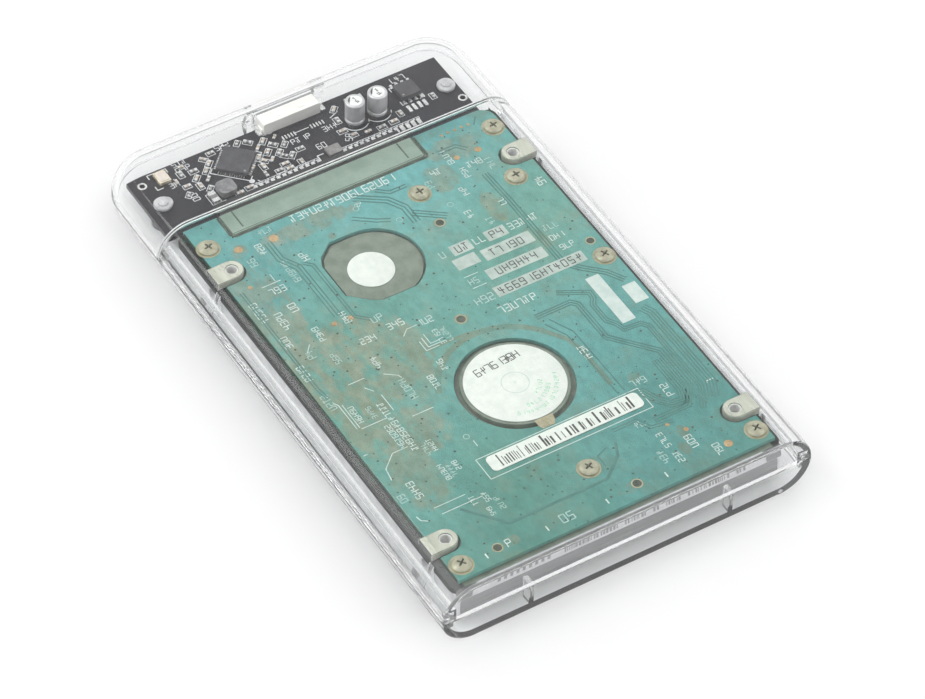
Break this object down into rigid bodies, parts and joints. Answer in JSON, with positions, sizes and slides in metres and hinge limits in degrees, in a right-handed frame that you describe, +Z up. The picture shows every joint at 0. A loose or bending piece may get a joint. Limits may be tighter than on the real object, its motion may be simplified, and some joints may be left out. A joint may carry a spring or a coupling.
{
  "type": "external hard disk drive",
  "caption": "Flat 2.5-inch hard disk drive in a clear round-edged USB enclosure, with a lid that slides off, spinning platters and a swinging head arm.",
  "frame": {"origin": "centre of the enclosure's underside", "axes": "+Z up out of the lid, +Y along the length towards the USB end, X across the width"},
  "size_m": [0.0784, 0.129, 0.0135],
  "materials": {
    "clear_plastic": "clear polished",
    "board_black": "satin solder mask",
    "board_green": "satin teal solder mask",
    "black_plastic": "moulded",
    "chip_plastic": "moulded epoxy",
    "sage_plastic": "moulded",
    "cast_aluminium": "die cast",
    "sheet_aluminium": "brushed",
    "nickel_screw": "nickel plated",
    "bright_steel": "bright",
    "mirror_disc": "mirror polished",
    "magnet": "nickel plated",
    "copper": "enamelled copper wire",
    "rubber": "matte",
    "paper": "coated",
    "white_plastic": "moulded",
    "amber_film": "polyimide film",
    "crystal_can": "plated lid"
  },
  "bodies": {
    "tray": {"base_tray": "clear_plastic", "head_cover": "clear_plastic", "board_rivet_left": "clear_plastic", "board_rivet_right": "clear_plastic", "adapter_board": "board_black", "usb_shell": "bright_steel", "usb_insert": "black_plastic", "sata_socket": "black_plastic", "capacitor_left": "sheet_aluminium", "capacitor_right": "sheet_aluminium", "bridge_chip": "chip_plastic", "power_inductor": "chip_plastic", "regulator_chip": "chip_plastic", "crystal": "crystal_can", "status_led": "white_plastic", "drive_base": "cast_aluminium", "drive_cover": "sheet_aluminium", "cover_gasket": "rubber", "drive_label": "paper", "drive_board": "board_green", "sata_plug": "sage_plastic", "spindle_label": "paper", "pivot_label": "paper", "barcode_label": "paper", "board_screw_1": "nickel_screw", "board_screw_2": "nickel_screw", "board_screw_3": "nickel_screw", "board_screw_4": "nickel_screw", "board_screw_5": "nickel_screw", "board_screw_6": "nickel_screw", "board_screw_7": "nickel_screw", "board_screw_8": "nickel_screw", "cover_screw_1": "bright_steel", "cover_screw_2": "bright_steel", "cover_screw_3": "bright_steel", "cover_screw_4": "bright_steel", "motor_stator": "copper", "bearing_sleeve": "bright_steel", "pivot_shaft": "bright_steel", "magnet_yoke_lower": "magnet", "magnet_yoke_upper": "magnet", "voice_magnet": "magnet", "load_ramp": "white_plastic", "air_filter": "white_plastic", "flex_ribbon": "amber_film"},
    "cover": {"slide_cover": "clear_plastic"},
    "spindle": {"spindle_hub": "bright_steel", "rotor_magnet": "magnet", "platter_lower": "mirror_disc", "platter_upper": "mirror_disc", "platter_spacer": "sheet_aluminium", "platter_clamp": "sheet_aluminium", "clamp_screw": "bright_steel"},
    "arm": {"actuator_arm": "sheet_aluminium", "voice_coil": "copper", "pivot_bearing": "bright_steel", "head_1": "bright_steel", "head_2": "bright_steel", "head_3": "bright_steel", "head_4": "bright_steel"}
  },
  "joints": [
    {"name": "cover_slide", "type": "slide", "parent": "tray", "child": "cover", "axis": [0, -1, 0], "range_m": [0, 0.104]},
    {"name": "spindle_spin", "type": "hinge", "parent": "tray", "child": "spindle", "pos_m": [0, -0.0249, 0.005], "axis": [0, 0, 1], "continuous": true},
    {"name": "actuator_swing", "type": "hinge", "parent": "tray", "child": "arm", "pos_m": [-0.0078, 0.0135, 0.005], "axis": [0, 0, -1], "range_deg": [0, 33.5]}
  ]
}
